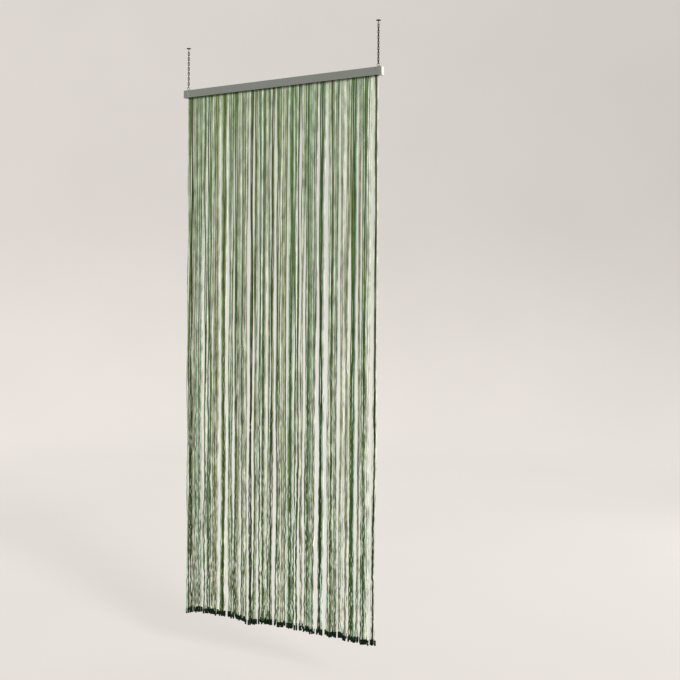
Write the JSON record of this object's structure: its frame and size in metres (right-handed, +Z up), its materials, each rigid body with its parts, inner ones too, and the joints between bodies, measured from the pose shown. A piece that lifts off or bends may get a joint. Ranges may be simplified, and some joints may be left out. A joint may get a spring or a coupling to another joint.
{
  "type": "string curtain with its hanging rail",
  "caption": "String curtain of twisted green cords with dark end sleeves, hanging from a plain grey rail on short dark chains with ceiling hooks.",
  "frame": {"origin": "in the ceiling's plane, midway between the two ceiling hooks' plates", "axes": "+X along the rail to the right end as seen from the front, +Y to the back, +Z up"},
  "size_m": [0.9, 0.0208, 2.2846],
  "materials": {
    "rail": "satin anodised",
    "end_cap": "fine matt",
    "eye": "bright plated steel",
    "chain": "dark browned steel",
    "cord": "satin twisted yarn in mixed greens",
    "sleeve": "dark green plastic"
  },
  "bodies": {
    "root": {"rail": "rail", "end_cap_left": "end_cap", "end_cap_right": "end_cap", "cord_curtain": "cord", "screw_eye_left": "eye", "screw_eye_right": "eye", "ceiling_hook_left": "chain", "ceiling_hook_right": "chain", "chain_link_left_01": "chain", "chain_link_left_02": "chain", "chain_link_left_03": "chain", "chain_link_left_04": "chain", "chain_link_left_05": "chain", "chain_link_left_06": "chain", "chain_link_left_07": "chain", "chain_link_left_08": "chain", "chain_link_left_09": "chain", "chain_link_left_10": "chain", "chain_link_left_11": "chain", "chain_link_left_12": "chain", "chain_link_left_13": "chain", "chain_link_left_14": "chain", "chain_link_right_01": "chain", "chain_link_right_02": "chain", "chain_link_right_03": "chain", "chain_link_right_04": "chain", "chain_link_right_05": "chain", "chain_link_right_06": "chain", "chain_link_right_07": "chain", "chain_link_right_08": "chain", "chain_link_right_09": "chain", "chain_link_right_10": "chain", "chain_link_right_11": "chain", "chain_link_right_12": "chain", "chain_link_right_13": "chain", "chain_link_right_14": "chain"}
  },
  "joints": []
}
